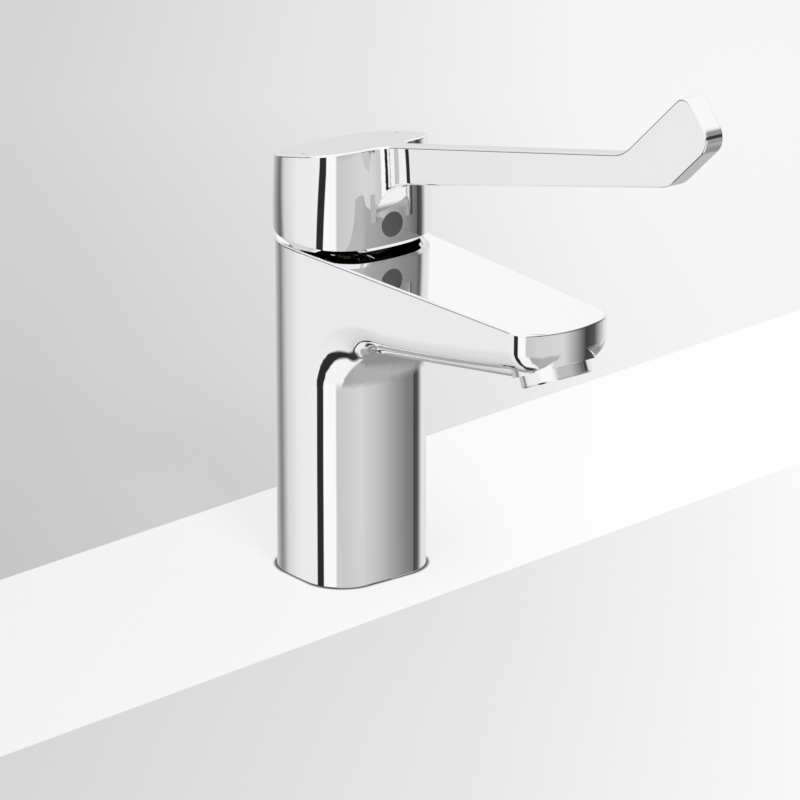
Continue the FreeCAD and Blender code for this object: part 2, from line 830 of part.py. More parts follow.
insert_bottom = aerator_lip - aerator_collar_length
screen_top = aerator_thread_length - aerator_washer_thickness
screen_bottom = screen_top - aerator_screen_thickness


def aerator_washer():
    return tube(aerator_thread_radius, aerator_bore_radius - aerator_lip, screen_top, aerator_thread_length)


# Moving pieces of the cartridge

def moving_disc():
    top = moving_disc_bottom + moving_disc_height
    disc = cylinder(moving_disc_radius, moving_disc_bottom, top, 0, disc_rest_y)
    pocket = cylinder(mixing_pocket_radius, moving_disc_bottom, moving_disc_bottom + mixing_pocket_depth,
                      0, disc_rest_y)
    behind_edge = box(-FAR, FAR, disc_rest_y - mixing_pocket_edge, FAR, 0, FAR)
    disc = disc.cut(pocket.common(behind_edge))
    for peg in drive_pegs():
        disc = disc.cut(peg)
    return disc


def drive_pegs():
    return [cylinder(drive_peg_radius, carrier_bottom - drive_peg_depth, carrier_bottom,
                     side * drive_peg_offset, disc_rest_y) for side in (-1, 1)]


def disc_carrier():
    carrier = cylinder(carrier_radius, carrier_bottom, slider_bottom, 0, disc_rest_y)
    carrier = carrier.fuse(box(-slider_half_width, slider_half_width, disc_rest_y - slider_half_length,
                               disc_rest_y + slider_half_length, slider_bottom, slider_top))
    for peg in drive_pegs():
        carrier = carrier.fuse(peg)
    socket_bottom = pivot_height - spindle_arm - spindle_ball_radius - piece_clearance
    socket = cylinder(spindle_ball_radius + running_clearance, socket_bottom, slider_top + OVERLAP,
                      0, disc_rest_y)
    return carrier.cut(socket)


def spindle_slot():
    """Room for the spindle over its whole tilt, narrowest at the pivot."""
    lean = math.sin(math.radians(spindle_lean_deg))
    low = pivot_height - rotor_bottom + OVERLAP
    high = neck_top_above_pivot + OVERLAP
    half_low = low * lean + spindle_ball_radius + piece_clearance
    half_block = spindle_block_below * lean + spindle_block_half + 2 * piece_clearance
    half_high = high * lean + spindle_block_half + 2 * piece_clearance
    waist = pivot_height - spindle_block_below - OVERLAP
    corners = [
        (-half_low, pivot_height - low, 0),
        (half_low, pivot_height - low, 0),
        (half_block, waist, 0),
        (half_high, pivot_height + high, 0),
        (-half_high, pivot_height + high, 0),
        (-half_block, waist, 0),
    ]
    return side_prism(corners, spindle_block_half + running_clearance)


def swivel_guide():
    guide = cylinder(rotor_radius, rotor_bottom, rotor_top)
    guide = guide.fuse(cylinder(neck_radius, rotor_top, pivot_height + neck_top_above_pivot))
    half = slider_half_width + running_clearance
    guide = guide.cut(box(-half, half, -FAR, FAR, rotor_bottom - OVERLAP, slider_top + piece_clearance))
    guide = guide.cut(spindle_slot())
    lug_bottom = housing_top + piece_clearance
    lug_top = housing_top + limiter_height - piece_clearance
    lug = sector(lug_radius, lug_bottom, lug_top, 90, lug_angle_deg)
    guide = guide.fuse(lug.cut(cylinder(neck_radius - OVERLAP, lug_bottom, lug_top)))
    return guide.cut(pin_bar(pivot_pin_radius, 2 * neck_radius))


def pin_bar(radius, length):
    return Part.makeCylinder(radius, length, Vector(-length / 2, 0, pivot_height), X_AXIS)


def pivot_pin():
    return pin_bar(pivot_pin_radius, 2 * (neck_radius - piece_clearance))


# Lever: spindle, sleeve and handle

def leaned(shape):
    """Turns a piece drawn upright on the pivot to the lean that it has with the lever down."""
    return turned(shape, pivot, X_AXIS, spindle_lean_deg)


def square_bar(width, bottom_above_pivot, top_above_pivot):
    return box(-width / 2, width / 2, -width / 2, width / 2,
               pivot_height + bottom_above_pivot, pivot_height + top_above_pivot)


def spindle():
    ball = Part.makeSphere(spindle_ball_radius, Vector(0, 0, pivot_height - spindle_arm))
    shank = cylinder(spindle_shank_radius, pivot_height - spindle_arm, pivot_height - spindle_block_below)
    block = square_bar(2 * spindle_block_half, -spindle_block_below, spindle_block_above)
    top = square_bar(spindle_square, spindle_block_above, spindle_top_above_pivot)
    upright_spindle = ball.fuse(shank).fuse(block).fuse(top)
    hole = pin_bar(pivot_pin_radius + running_clearance, FAR)
    return leaned(upright_spindle.cut(hole))


def along_front(radius, from_y, to_y, height):
    """Round bar or hole along Y at x = 0."""
    return Part.makeCylinder(radius, abs(to_y - from_y), Vector(0, max(from_y, to_y), height), -Y_AXIS)


def spindle_sleeve():
    outer = square_bar(spindle_square + 2 * sleeve_wall, sleeve_start_above_pivot, spindle_top_above_pivot)
    inner = square_bar(spindle_square, 0, FAR)
    return leaned(outer.cut(inner)).cut(along_front(screw_radius, 0, -cap_front, screw_height))


def screw_tip_y():
    """Where the screw ends, so that its upper edge just clears the leaning front face of the spindle."""
    top_above_pivot = screw_above_pivot + screw_radius
    lean = math.radians(spindle_lean_deg)
    return -top_above_pivot * math.tan(lean) - spindle_square / 2 / math.cos(lean) - running_clearance


def grub_screw():
    head = screw_tip_y() - screw_length
    screw = along_front(screw_radius, screw_tip_y(), head, screw_height)
    return screw.cut(along_front(screw_key_radius, head + screw_key_depth, head, screw_height))


def cover_seat_y():
    return cover_thickness - cap_front


def screw_cover():
    return along_front(cover_radius, cover_seat_y(), -cap_front, screw_height)


def cap_outline(inset, height, extra_corner=0.0):
    corner = column_corner_radius + cap_extra_width - inset + extra_corner
    return bowed_outline(cap_half_width - inset, cap_half_depth - inset, corner,
                         column_front_bow, column_side_bow, height, cap_forward)


def cap_inset(height):
    """How far the cap's wall stands back from its widest outline, in one gentle curve."""
    return cap_wall_curve * (height - cap_crease_height - cap_widest_above_crease) ** 2


def cap_upper():
    """Cap above its crease, up to beyond its slanting top."""
    rise = cap_top_height + cap_half_depth - cap_crease_height
    heights = [cap_crease_height + rise * step / (cap_wall_sections - 1) for step in range(cap_wall_sections)]
    return Part.makeLoft([cap_outline(cap_inset(height), height) for height in heights], True, False)


def cap_rim():
    """Bevel under the crease, with rounder corners and a lower edge that rises towards the front."""
    crease_inset = cap_inset(cap_crease_height)
    low = cap_outline(crease_inset + cap_bevel_inset, cap_rim_height, cap_bevel_extra_corner)
    high = cap_outline(crease_inset, cap_crease_height)
    rim = Part.makeLoft([low, high], True, True)
    return rim.common(tilted_block_above(Vector(0, 0, cap_rim_height), cap_front_relief_deg))


def above_handle_top():
    return tilted_block_above(Vector(0, 0, cap_top_height), cap_top_incline_deg)


def arm_corners():
    """Side view of the arm and its cranked paddle, from inside the cap out to the tip and back."""
    incline = cap_top_incline_deg
    top_slope = math.tan(math.radians(incline))
    upper_bend = (-arm_length, cap_top_height + arm_length * top_slope)
    along = (-math.cos(math.radians(paddle_incline_deg)), math.sin(math.radians(paddle_incline_deg)))
    across = (-along[1], along[0])
    top_corner = (upper_bend[0] + along[0] * paddle_length, upper_bend[1] + along[1] * paddle_length)
    front_corner = (top_corner[0] + across[0] * paddle_width, top_corner[1] + across[1] * paddle_width)
    root = (-cap_front, cap_top_height + cap_front * top_slope - arm_root_depth)
    lower_bend = meeting_point(front_corner, paddle_incline_deg, root, arm_underside_incline_deg)
    return [
        (-arm_start_inside, cap_top_height + 2 * arm_thickness, 0),
        (-cap_front - arm_thickness, cap_top_height - arm_thickness * top_slope + 2 * arm_thickness, 0),
        (-cap_front - 2 * arm_thickness, cap_top_height + (cap_front + 2 * arm_thickness) * top_slope, 0),
        (upper_bend[0], upper_bend[1], paddle_upper_bend_radius),
        (top_corner[0], top_corner[1], paddle_top_corner_radius),
        (front_corner[0], front_corner[1], paddle_front_corner_radius),
        (lower_bend[0], lower_bend[1], paddle_lower_bend_radius),
        (root[0], root[1], arm_gusset_radius),
        (root[0], root[1] - arm_gusset_radius - OVERLAP, 0),
        (-arm_start_inside, root[1] - arm_gusset_radius - OVERLAP, 0),
    ]


def handle_blank():
    """Cap and arm in one, with the concave neck between them."""
    upper = cap_upper()
    far_end = arm_length + paddle_length + paddle_width
    plate = box(-arm_thickness / 2, arm_thickness / 2, -far_end, -arm_start_inside,
                cap_crease_height, cap_top_height + far_end)
    joined = upper.fuse(plate)
    joined = joined.makeFillet(arm_neck_radius, edges_where(joined, is_neck_edge))
    arm = joined.common(side_prism(arm_corners(), cap_half_width / 2))
    cap = upper.fuse(cap_rim())
    handle = cap.fuse(arm).cut(above_cap_only()).removeSplitter()
    handle = handle.makeFillet(handle_edge_radius, edges_where(handle, is_arm_edge))
    handle.fix(SAME_PLACE, SAME_PLACE, SAME_PLACE)
    return handle


def is_arm_edge(edge):
    """Edges around both sides of the arm; they run on without a kink into the edge of the cap's top."""
    start = edge.valueAt(edge.FirstParameter)
    end = edge.valueAt(edge.LastParameter)
    points = (start, edge_middle(edge), end)
    at_side = all(abs(abs(point.x) - arm_thickness / 2) < SAME_PLACE for point in points)
    upright_edge = abs(start.y - end.y) < 2 * OVERLAP
    return at_side and not upright_edge and min(start.y, end.y) < -cap_front - arm_neck_radius


def above_cap_only():
    """Space over the top plane as far out as the straight part of the arm."""
    block = above_handle_top()
    return block.common(box(-FAR, FAR, -arm_length / 2, FAR, 0, FAR))


def is_neck_edge(edge):
    start = edge.valueAt(edge.FirstParameter)
    end = edge.valueAt(edge.LastParameter)
    at_side = all(abs(abs(point.x) - arm_thickness / 2) < SAME_PLACE for point in (start, end))
    at_front = all(abs(point.y + cap_front) < arm_neck_radius for point in (start, end))
    return at_side and at_front and abs(start.z - end.z) > arm_neck_radius


def handle_hollow():
    """Inside of the cap, around the socket for the spindle and the tunnel for the screw."""
    inside = bowed_outline(cap_half_width - cap_wall, cap_half_depth - cap_wall,
                           column_corner_radius + cap_extra_width - cap_wall,
                           column_front_bow, column_side_bow, cap_rim_height - OVERLAP, cap_forward)
    hollow = Part.Face(inside).extrude(Vector(0, 0, cap_top_height + cap_half_depth - cap_rim_height))
    hollow = hollow.cut(tilted_block_above(Vector(0, 0, cap_top_height - cap_ceiling), cap_top_incline_deg))
    socket = cylinder(socket_boss_radius, socket_boss_bottom_height, cap_top_height)
    socket = leaned(socket).cut(box(-FAR, FAR, -FAR, FAR, 0, socket_boss_bottom_height))
    hollow = hollow.cut(socket)
    return hollow.cut(along_front(screw_boss_radius, 0, -cap_front, screw_height))


def lever_handle():
    handle = handle_blank().cut(handle_hollow())
    below = box(-FAR, FAR, -FAR, FAR, 0, body_height + cap_tilt_clearance)
    handle = handle.cut(turned(below, pivot, X_AXIS, tilt_range_deg))
    handle = handle.cut(leaned(square_bar(spindle_square + 2 * sleeve_wall, 0,
                                          spindle_top_above_pivot + piece_clearance)))
    thread_end = screw_tip_y() - screw_length - piece_clearance
    handle = handle.cut(along_front(screw_radius, 0, thread_end, screw_height))
    handle = handle.cut(along_front(screw_hole_radius, thread_end, cover_seat_y(), screw_height))
    handle = handle.cut(along_front(cover_radius, cover_seat_y(), -2 * cap_front, screw_height))
    for side in (-1, 1):
        handle = handle.cut(mark_bar(side))
    return handle


def mark_bar(side):
    return cylinder(mark_radius, cap_top_height - mark_depth, cap_top_height + OVERLAP, side * mark_offset, 0)


def index_mark(side):
    return mark_bar(side).cut(above_handle_top())


os.makedirs("parts", exist_ok=True)

save(body_casting(), "body_casting")
save(base_ring(), "base_seal")
save(fixing_stud(), "fixing_stud")
save(clamp_ring(clamp_gasket_top, clamp_gasket_thickness), "clamp_gasket")
save(clamp_ring(clamp_plate_top, clamp_plate_thickness), "clamp_plate")
save(fixing_nut(), "fixing_nut")

save(inlet_seals(), "inlet_seals")
save(cartridge_base(), "cartridge_base")
save(fixed_disc(), "fixed_disc")
save(cartridge_housing(), "cartridge_housing")
save(housing_seal(), "housing_seal")
save(cartridge_nut(), "cartridge_nut")
save(temperature_limiter(), "temperature_limiter")
save(bonnet(), "bonnet")

save(at_aerator(aerator_collar()), "aerator_collar")
save(at_aerator(pierced_disc(insert_bottom, screen_bottom)), "aerator_insert")
save(at_aerator(pierced_disc(screen_bottom, screen_top)), "aerator_screen")
save(at_aerator(aerator_washer()), "aerator_washer")

save(moving_disc(), "moving_disc")
save(disc_carrier(), "disc_carrier")
save(swivel_guide(), "swivel_guide")
save(pivot_pin(), "pivot_pin")

save(spindle(), "spindle")
save(spindle_sleeve(), "spindle_sleeve")
save(grub_screw(), "grub_screw")
save(screw_cover(), "screw_cover")
save(lever_handle(), "lever_handle")
save(index_mark(-1), "hot_mark")
save(index_mark(1), "cold_mark")
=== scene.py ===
import bpy
import json
import math
from mathutils import Matrix, Vector

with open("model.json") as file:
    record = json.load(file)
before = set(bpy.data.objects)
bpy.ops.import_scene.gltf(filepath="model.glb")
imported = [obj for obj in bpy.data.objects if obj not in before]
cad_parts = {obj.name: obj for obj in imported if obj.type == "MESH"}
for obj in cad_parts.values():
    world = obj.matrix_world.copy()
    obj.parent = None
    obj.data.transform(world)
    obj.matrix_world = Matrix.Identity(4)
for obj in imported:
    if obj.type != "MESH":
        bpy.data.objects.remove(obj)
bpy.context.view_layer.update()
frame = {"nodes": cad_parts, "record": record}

BLACK = (0.0, 0.0, 0.0, 1.0)

# Camera, in metres and degrees
CAMERA_AZIMUTH = 38.0
CAMERA_ELEVATION = 19.34
CAMERA_DISTANCE = 1.9226
CAMERA_ASIDE = 0.017464
CAMERA_ABOVE = 0.05837
CAMERA_LENS = 240.07
CAMERA_REACH = 50
SENSOR = 36.0

# Lights: place and target in metres, size in metres, power in watts
KEY_PLACE = (-0.35, -1.2, 1.3)
KEY_TARGET = (0, 0, 0.05)
KEY_SIZE = 0.45
KEY_WATTS = 9.0
FILL_PLACE = (-1.2, -0.9, 1.0)
FILL_TARGET = (0, 0, 0.08)
FILL_SIZE = 1.0
FILL_WATTS = 3.0

# Foot of the column, in metres, and the shadow painted on the floor where it meets the worktop
FOOT_HALF_WIDTH = 0.025
FOOT_HALF_DEPTH = 0.02245
FOOT_CORNER = 0.0153
FOOT_SHADE_START = -0.0002
FOOT_SHADE_WIDTH = 0.0013
FOOT_SHADE_DARKEST = 0.15

# Arcs of the cap's outline, in metres: centres in the plan, and how the wall leans with height
CAP_FORWARD = 0.0006
CAP_CORNER_X = 0.00937
CAP_CORNER_Y = 0.00665
CAP_FRONT_CENTRE = -0.0809
CAP_SIDE_CENTRE = -0.05747
CAP_WIDEST = 0.1313
CAP_LEAN = 2.4

# The smooth normal is used fully within the first angle of the mesh normal, and not past the second
CAP_NEAR_DEG = 2.5
CAP_FAR_DEG = 4.0

# Floor in metres: half its size, and points on the two long edges of the strip that the tap stands on
FLOOR_HALF = 3.0
STRIP_BACK = ((-0.1099, 0.0631), (0.3207, 0.1149))
STRIP_FRONT = ((-0.1996, -0.0702), (0.1943, -0.0224))
STRIP_EDGE = 0.0004

# Greys painted on the floor, by (share, grey) across the camera's view, and where that span lies. They grade
# from darker on the left to lighter on the right, and lighter further behind: painted light falloff
NEAR_SPAN = (-0.125, 0.15)
FRONT_SPAN = (-0.125, 0.17)
FAR_SPAN = (-0.16, 0.17)
BEHIND_SPAN = (0.0, 0.6)
BACK_NEAR_GREYS = [(0.0, 197), (0.33, 209), (0.8, 237), (1.0, 243)]
BACK_FAR_GREYS = [(0.0, 215), (0.5, 235), (0.8, 248), (1.0, 249)]
STRIP_GREYS = [(0.0, 241), (0.35, 245), (0.55, 250), (0.8, 254), (1.0, 255)]
FRONT_GREYS = [(0.0, 211), (0.5, 226), (0.9, 244), (1.0, 250)]
FLOOR_GLOW = 0.72
FLOOR_CLOTH_DARKENING = 0.68
FLOOR_BOUNCE = (0.75, 0.75, 0.75, 1.0)

# Studio round the tap, as the polished metal sees it: large grey and white cards, by direction.
# The stops are (azimuth in degrees, grey), and the bands are elevations in degrees.
CARDS_HIGH = [
    (-180, 250), (-140, 250), (-120, 190), (-75, 185), (-25, 95), (-10, 225), (55, 250), (100, 210),
    (130, 210), (155, 250),
]
CARDS_LEVEL = [
    (-180, 250), (-143, 250), (-139, 200), (-65, 215), (-50, 160), (-35, 60), (-22, 85), (-2, 230),
    (60, 220), (85, 185), (117, 105), (120, 210), (130, 235), (180, 240),
]
CARDS_LOW = [
    (-180, 240), (-150, 160), (-75, 175), (-45, 175), (-25, 145), (10, 145), (32, 190), (70, 145),
    (95, 205), (150, 235), (180, 240),
]
CARD_STRENGTH = 1.06
LOW_TO_LEVEL = (-32, -19.5)
LEVEL_TO_HIGH = (-2, 14)

# White card low on the left, in front of the tap: its edge slants and falls with height
WHITE_CARD_SLANT = -1.03
WHITE_CARD_FALL = 0.45
WHITE_CARD_SOFTNESS = 0.08
WHITE_CARD_FRONT = 0.1
WHITE_CARD_GREY = 245

# Black flag on the left: it leans in its upper part, and is narrower and softer at its foot
FLAG_AZIMUTH = 173.5
FLAG_LEAN = 10.5
FLAG_LEAN_BAND = (-20, -11)
FLAG_HALF_WIDTH = 0.16
FLAG_FOOT_CHANGE = -0.05
FLAG_SOFTNESS = 0.02
FLAG_FOOT_SOFTENING = 0.04
FLAG_FOOT_BAND = (38, 70)
FLAG_TOP = (-8.5, -6)
FLAG_GREY = 44

# Dark far wall at eye level, left out round one azimuth and at the far left
WALL_GAP_AZIMUTH = 54
WALL_GAP_EDGE = (0.45, 0.7)
WALL_LEFT_END = (-0.85, -0.72)
WALL_BOTTOM = (-9.5, -6.5)
WALL_TOP = (6, 10)
WALL_GREY = 58

# Bright ceiling above the first band, and dark pedestal straight below the tap
CEILING = (22, 40)
CEILING_GREY = 250
PEDESTAL = (74, 86)
PEDESTAL_GREY = 52

# What all other light sees instead of the cards
PLAIN_GREY = 236
PLAIN_STRENGTH = 0.8

# Fine noise of every material, the part of its range that is used, and the relief's strength
NOISE_DETAIL = 4.0
NOISE_LOW = 0.3
NOISE_HIGH = 0.7
RELIEF_STRENGTH = 0.4


def linear(grey):
    """Linear value of a display grey from 0 to 255."""
    share = grey / 255
    return share / 12.92 if share <= 0.04045 else ((share + 0.055) / 1.055) ** 2.4


def grey_colour(grey):
    value = linear(grey)
    return (value, value, value, 1.0)


def sine(degrees):
    return math.sin(math.radians(degrees))


def cosine(degrees):
    return math.cos(math.radians(degrees))


class Nodes:
    """Short calls for building a node tree."""

    def __init__(self, tree):
        self.tree = tree
        tree.nodes.clear()

    def add(self, kind, **settings):
        node = self.tree.nodes.new(kind)
        for key, value in settings.items():
            setattr(node, key, value)
        return node

    def link(self, source, target):
        self.tree.links.new(source, target)

    def feed(self, target, value):
        if isinstance(value, bpy.types.NodeSocket):
            self.tree.links.new(value, target)
        else:
            target.default_value = value

    def math(self, operation, first, second=0.0, third=0.0):
        node = self.add("ShaderNodeMath", operation=operation)
        for index, value in enumerate((first, second, third)):
            if index < len(node.inputs):
                self.feed(node.inputs[index], value)
        return node.outputs[0]

    def vector(self, operation, first, second=None):
        node = self.add("ShaderNodeVectorMath", operation=operation)
        self.feed(node.inputs[0], first)
        if second is not None:
            self.feed(node.inputs[1], second)
        return node.outputs["Value" if operation == "DOT_PRODUCT" else "Vector"]

    def negative(self, value):
        return self.math("MULTIPLY", value, -1.0)

    def inverse(self, value):
        return self.math("SUBTRACT", 1.0, value)

    def ramp(self, factor, stops):
        """Colour ramp from (position, grey) stops."""
        node = self.add("ShaderNodeValToRGB")
        node.color_ramp.interpolation = "LINEAR"
        elements = node.color_ramp.elements
        while len(elements) > 1:
            elements.remove(elements[0])
        elements[0].position = stops[0][0]
        elements[0].color = grey_colour(stops[0][1])
        for position, grey in stops[1:]:
            element = elements.new(position)
            element.color = grey_colour(grey)
        self.feed(node.inputs["Fac"], factor)
        return node.outputs["Color"]

    def between(self, value, low, high, smooth=True):
        """0 below low, 1 above high."""
        node = self.add("ShaderNodeMapRange", interpolation_type="SMOOTHSTEP" if smooth else "LINEAR")
        self.feed(node.inputs["Value"], value)
        self.feed(node.inputs["From Min"], low)
        self.feed(node.inputs["From Max"], high)
        return node.outputs["Result"]

    def above(self, z, band, smooth=True):
        """0 below a band of elevations, 1 above it."""
        return self.between(z, sine(band[0]), sine(band[1]), smooth)

    def mix(self, factor, first, second, kind="RGBA"):
        """Blend of two colours, or of two vectors for the kind VECTOR."""
        node = self.add("ShaderNodeMix", data_type=kind)
        self.feed(node.inputs["Factor"], factor)
        self.feed(node.inputs["A"], first)
        self.feed(node.inputs["B"], second)
        return next(socket for socket in node.outputs if socket.type == kind)


def by_azimuth(stops):
    """Ramp stops from (degrees, grey)."""
    return [((degrees + 180) / 360, grey) for degrees, grey in stops]


def flag_mask(n, x, y, z):
    """1 where the black flag hangs."""
    lean = n.math("MULTIPLY", n.above(z, FLAG_LEAN_BAND, smooth=False), FLAG_LEAN)
    turn = n.math("RADIANS", n.math("ADD", lean, FLAG_AZIMUTH))
    across = n.math("SUBTRACT", n.math("MULTIPLY", y, n.math("COSINE", turn)),
                    n.math("MULTIPLY", x, n.math("SINE", turn)))
    foot = n.above(n.negative(z), FLAG_FOOT_BAND)
    half_width = n.math("MULTIPLY_ADD", foot, FLAG_FOOT_CHANGE, FLAG_HALF_WIDTH)
    softness = n.math("MULTIPLY_ADD", foot, FLAG_FOOT_SOFTENING, FLAG_SOFTNESS)
    past_half = n.math("SUBTRACT", n.math("ABSOLUTE", across), half_width)
    flag = n.inverse(n.between(past_half, n.negative(softness), softness))
    flag = n.math("MULTIPLY", flag, n.math("LESS_THAN", x, 0.0))
    return n.math("MULTIPLY", flag, n.inverse(n.above(z, FLAG_TOP)))


def far_wall_mask(n, x, y, z):
    """1 on the dark far wall, which draws the thin lines along rounded edges."""
    away = n.math("MULTIPLY_ADD", x, cosine(WALL_GAP_AZIMUTH), n.math("MULTIPLY", y, sine(WALL_GAP_AZIMUTH)))
    wall = n.inverse(n.between(away, *WALL_GAP_EDGE))
    wall = n.math("MULTIPLY", wall, n.between(x, *WALL_LEFT_END))
    wall = n.math("MULTIPLY", wall, n.above(z, WALL_BOTTOM))
    return n.math("MULTIPLY", wall, n.inverse(n.above(z, WALL_TOP)))


def build_world():
    world = bpy.data.worlds.new("studio")
    world.use_nodes = True
    bpy.context.scene.world = world
    n = Nodes(world.node_tree)
    coordinates = n.add("ShaderNodeTexCoord")
    split = n.add("ShaderNodeSeparateXYZ")
    n.link(coordinates.outputs["Generated"], split.inputs[0])
    x, y, z = split.outputs[0], split.outputs[1], split.outputs[2]
    turn = n.math("ARCTAN2", y, x)
    around = n.math("MULTIPLY_ADD", turn, 1 / (2 * math.pi), 0.5)
    high = n.ramp(around, by_azimuth(CARDS_HIGH))
    level = n.ramp(around, by_azimuth(CARDS_LEVEL))
    low = n.ramp(around, by_azimuth(CARDS_LOW))

    past_edge = n.math("SUBTRACT", n.math("MULTIPLY_ADD", x, WHITE_CARD_SLANT, y),
                       n.math("MULTIPLY", z, WHITE_CARD_FALL))
    white = n.math("MULTIPLY", n.between(past_edge, -WHITE_CARD_SOFTNESS, WHITE_CARD_SOFTNESS),
                   n.between(n.negative(y), 0.0, WHITE_CARD_FRONT))
    low = n.mix(white, low, grey_colour(WHITE_CARD_GREY))

    room = n.mix(n.above(z, LOW_TO_LEVEL), low, level)
    room = n.mix(n.above(z, LEVEL_TO_HIGH), room, high)
    room = n.mix(flag_mask(n, x, y, z), room, grey_colour(FLAG_GREY))
    room = n.mix(far_wall_mask(n, x, y, z), room, grey_colour(WALL_GREY))
    room = n.mix(n.above(z, CEILING), room, grey_colour(CEILING_GREY))
    room = n.mix(n.above(n.negative(z), PEDESTAL), room, grey_colour(PEDESTAL_GREY))

    mirrored = n.add("ShaderNodeBackground")
    n.feed(mirrored.inputs["Color"], room)
    mirrored.inputs["Strength"].default_value = CARD_STRENGTH
    plain = n.add("ShaderNodeBackground")
    plain.inputs["Color"].default_value = grey_colour(PLAIN_GREY)
    plain.inputs["Strength"].default_value = PLAIN_STRENGTH
    choice = n.add("ShaderNodeMixShader")
    n.feed(choice.inputs[0], seen_in_metal(n))
    n.link(plain.outputs[0], choice.inputs[1])
    n.link(mirrored.outputs[0], choice.inputs[2])
    output = n.add("ShaderNodeOutputWorld")
    n.link(choice.outputs[0], output.inputs["Surface"])


def seen_in_metal(n):
    """1 for what is mirrored or seen through something clear."""
    path = n.add("ShaderNodeLightPath")
    return n.math("MAXIMUM", path.outputs["Is Glossy Ray"], path.outputs["Is Transmission Ray"])


def add_camera():
    right = Vector((cosine(CAMERA_AZIMUTH), -sine(CAMERA_AZIMUTH), 0))
    back = Vector((-sine(CAMERA_AZIMUTH) * cosine(CAMERA_ELEVATION),
                   -cosine(CAMERA_AZIMUTH) * cosine(CAMERA_ELEVATION), sine(CAMERA_ELEVATION)))
    up = back.cross(right)
    data = bpy.data.cameras.new("camera")
    data.lens = CAMERA_LENS
    data.sensor_width = SENSOR
    data.clip_end = CAMERA_REACH
    camera = bpy.data.objects.new("camera", data)
    place = right * CAMERA_ASIDE + up * CAMERA_ABOVE + back * CAMERA_DISTANCE
    rotation = Matrix((right, up, back)).transposed()
    camera.matrix_world = Matrix.Translation(place) @ rotation.to_4x4()
    bpy.context.scene.collection.objects.link(camera)
    bpy.context.scene.camera = camera


def add_area_light(name, place, target, size, watts):
    data = bpy.data.lights.new(name, "AREA")
    data.shape = "SQUARE"
    data.size = size
    data.energy = watts
    light = bpy.data.objects.new(name, data)
    place = Vector(place)
    light.location = place
    light.rotation_euler = (Vector(target) - place).to_track_quat("-Z", "Y").to_euler()
    light.visible_glossy = False
    light.visible_camera = False
    bpy.context.scene.collection.objects.link(light)


def floor_line(n, x, y, line):
    """Signed distance from a line on the floor, positive behind it."""
    (x0, y0), (x1, y1) = line
    length = math.hypot(x1 - x0, y1 - y0)
    normal = (-(y1 - y0) / length, (x1 - x0) / length)
    offset = -(normal[0] * x0 + normal[1] * y0)
    scaled = n.math("MULTIPLY_ADD", x, normal[0], offset)
    return n.math("MULTIPLY_ADD", y, normal[1], scaled)


def foot_shade(n, x, y):
    """Painted contact shadow: 1 away from the tap, falling where the worktop touches the column's rounded
    foot.
    """
    over = []
    for axis, half in ((x, FOOT_HALF_WIDTH), (y, FOOT_HALF_DEPTH)):
        past = n.math("SUBTRACT", n.math("ABSOLUTE", axis), half - FOOT_CORNER)
        over.append(n.math("POWER", n.math("MAXIMUM", past, 0.0), 2.0))
    reach = n.math("SQRT", n.math("ADD", over[0], over[1]))
    beyond = n.math("SUBTRACT", reach, FOOT_CORNER)
    return n.math("MULTIPLY_ADD", n.between(beyond, FOOT_SHADE_START, FOOT_SHADE_WIDTH),
                  1 - FOOT_SHADE_DARKEST, FOOT_SHADE_DARKEST)


def painted_floor(n):
    """Greys of the worktop strip and of the ground in front of it and behind it, with painted light falloff
    from left to right and from near to far.
    """
    geometry = n.add("ShaderNodeNewGeometry")
    split = n.add("ShaderNodeSeparateXYZ")
    n.link(geometry.outputs["Position"], split.inputs[0])
    x, y = split.outputs[0], split.outputs[1]
    aside = n.math("ADD", n.math("MULTIPLY", x, cosine(CAMERA_AZIMUTH)),
                   n.math("MULTIPLY", y, -sine(CAMERA_AZIMUTH)))
    behind = n.math("ADD", n.math("MULTIPLY", x, sine(CAMERA_AZIMUTH)),
                    n.math("MULTIPLY", y, cosine(CAMERA_AZIMUTH)))
    back_near = n.ramp(n.between(aside, *NEAR_SPAN, smooth=False), BACK_NEAR_GREYS)
    back_far = n.ramp(n.between(aside, *FAR_SPAN, smooth=False), BACK_FAR_GREYS)
    back = n.mix(n.between(behind, *BEHIND_SPAN, smooth=False), back_near, back_far)
    strip = n.ramp(n.between(aside, *NEAR_SPAN, smooth=False), STRIP_GREYS)
    front = n.ramp(n.between(aside, *FRONT_SPAN, smooth=False), FRONT_GREYS)
    past_back = n.between(floor_line(n, x, y, STRIP_BACK), -STRIP_EDGE, STRIP_EDGE)
    past_front = n.between(floor_line(n, x, y, STRIP_FRONT), -STRIP_EDGE, STRIP_EDGE)
    colour = n.mix(past_front, front, n.mix(past_back, strip, back))
    # The painted contact shadow darkens the floor's greys round the column's foot
    return n.mix(foot_shade(n, x, y), BLACK, colour)


